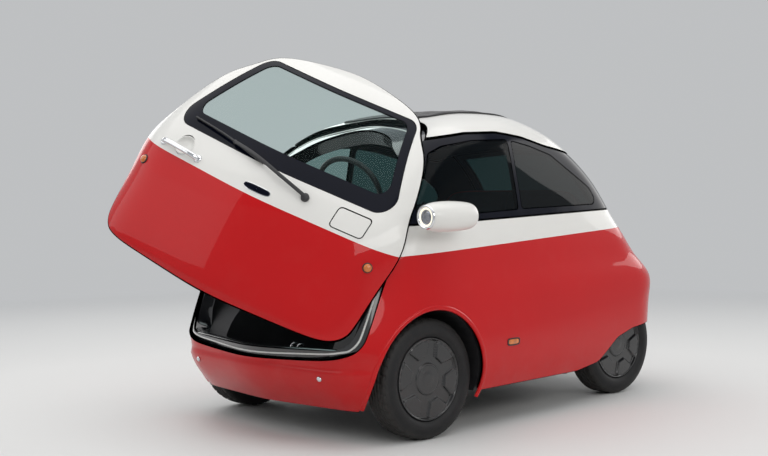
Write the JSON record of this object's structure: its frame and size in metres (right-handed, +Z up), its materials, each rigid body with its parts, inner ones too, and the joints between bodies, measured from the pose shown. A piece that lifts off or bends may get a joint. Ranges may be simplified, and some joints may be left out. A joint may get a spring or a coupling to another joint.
{
  "type": "front-door microcar",
  "caption": "Bubble-shaped two-seat electric microcar with one front door that carries the windscreen, folding roof, lamp pods and a rear hatch.",
  "frame": {"origin": "on the floor, under the middle of the resting car's outline with its front door open as pictured", "axes": "+X forward, +Y to the car's left, +Z up"},
  "size_m": [2.9069, 1.712, 1.7233],
  "materials": {
    "red_paint": "gloss",
    "white_paint": "gloss",
    "black_gloss": "gloss",
    "black_trim": "matt",
    "pale_seal": "satin",
    "clear_glass": "clear",
    "dark_glass": "tinted",
    "roof_cloth": "woven",
    "seat_cloth": "woven",
    "tyre": "matt",
    "wheel_cover": "satin",
    "chassis": "matt",
    "block": "matt",
    "chrome": "polished",
    "amber_lens": "clear",
    "red_lens": "clear",
    "lamp_lens": "clear",
    "mirror": "polished"
  },
  "bodies": {
    "body": {"front_bumper": "red_paint", "rear_bumper": "red_paint", "side_panel_left": "red_paint", "side_panel_right": "red_paint", "belt_bands": "white_paint", "roof_panel": "white_paint", "folding_roof": "roof_cloth", "window_frames": "black_gloss", "side_glass": "dark_glass", "opening_trim": "pale_seal", "floor_pan": "chassis", "wheel_houses": "black_trim", "boot_floor": "black_trim", "bench_base": "seat_cloth", "bench_back": "seat_cloth", "battery_block": "block", "drive_block": "block", "front_subframe": "chassis", "rear_axle": "chassis", "lamp_pods": "white_paint", "lamp_rings": "chrome", "lamp_lenses": "lamp_lens", "mirror_glasses": "mirror", "hinge_pins": "chassis", "bumper_studs": "chrome", "side_markers": "amber_lens", "pedals": "black_trim"},
    "door": {"door_lower": "red_paint", "door_upper": "white_paint", "windscreen_border": "black_gloss", "windscreen": "clear_glass", "turn_signals": "amber_lens", "badge_plate": "black_gloss", "door_handle": "chrome", "wiper": "black_trim", "dash_bar": "black_trim", "hinge_arms": "chassis"},
    "steering_wheel": {"steering_wheel": "black_trim"},
    "charge_flap": {"charge_flap": "white_paint"},
    "hatch": {"hatch_lower": "red_paint", "hatch_band": "white_paint", "hatch_frame": "black_gloss", "rear_glass": "dark_glass", "hatch_knuckles": "chassis", "tail_lamps": "red_lens"},
    "knuckle_left": {"knuckle_left": "chassis"},
    "knuckle_right": {"knuckle_right": "chassis"},
    "wheel_front_left": {"tyre_front_left": "tyre", "wheel_front_left": "wheel_cover"},
    "wheel_front_right": {"tyre_front_right": "tyre", "wheel_front_right": "wheel_cover"},
    "wheel_rear_left": {"tyre_rear_left": "tyre", "wheel_rear_left": "wheel_cover"},
    "wheel_rear_right": {"tyre_rear_right": "tyre", "wheel_rear_right": "wheel_cover"}
  },
  "joints": [
    {"name": "front_door", "type": "hinge", "parent": "body", "child": "door", "pos_m": [0.659, 0.6392, 0.75], "axis": [-0.651, -0.1555, 0.7429], "range_deg": [-36.3, 14]},
    {"name": "charge_flap", "type": "hinge", "parent": "door", "child": "charge_flap", "pos_m": [0.80233, 0.626, 0.91888], "axis": [-0.6392, 0.0547, 0.7671], "range_deg": [0, 80]},
    {"name": "steering_wheel", "type": "hinge", "parent": "door", "child": "steering_wheel", "pos_m": [0.5485, 0.22402, 1.07875], "axis": [-0.8728, -0.2381, 0.426], "range_deg": [-420, 420]},
    {"name": "hatch", "type": "hinge", "parent": "body", "child": "hatch", "pos_m": [-0.74857, 0, 1.30611], "axis": [0, 1, 0], "range_deg": [0, 72]},
    {"name": "steer_left", "type": "hinge", "parent": "body", "child": "knuckle_left", "pos_m": [0.4995, 0.56, 0.2635], "axis": [0, 0, 1], "range_deg": [-30, 30]},
    {"name": "steer_right", "type": "hinge", "parent": "body", "child": "knuckle_right", "pos_m": [0.4995, -0.56, 0.2635], "axis": [0, 0, 1], "range_deg": [-30, 30]},
    {"name": "spin_front_left", "type": "hinge", "parent": "knuckle_left", "child": "wheel_front_left", "pos_m": [0.4995, 0.6195, 0.2635], "axis": [0, 1, 0], "continuous": true},
    {"name": "spin_front_right", "type": "hinge", "parent": "knuckle_right", "child": "wheel_front_right", "pos_m": [0.4995, -0.6195, 0.2635], "axis": [0, 1, 0], "continuous": true},
    {"name": "spin_rear_left", "type": "hinge", "parent": "body", "child": "wheel_rear_left", "pos_m": [-1.0505, 0.4455, 0.2635], "axis": [0, 1, 0], "continuous": true},
    {"name": "spin_rear_right", "type": "hinge", "parent": "body", "child": "wheel_rear_right", "pos_m": [-1.0505, -0.4455, 0.2635], "axis": [0, 1, 0], "continuous": true}
  ],
  "couplings": [
    {"joint": "steer_right", "follows": "steer_left", "ratio": 1},
    {"joint": "steering_wheel", "follows": "steer_left", "ratio": 14}
  ]
}
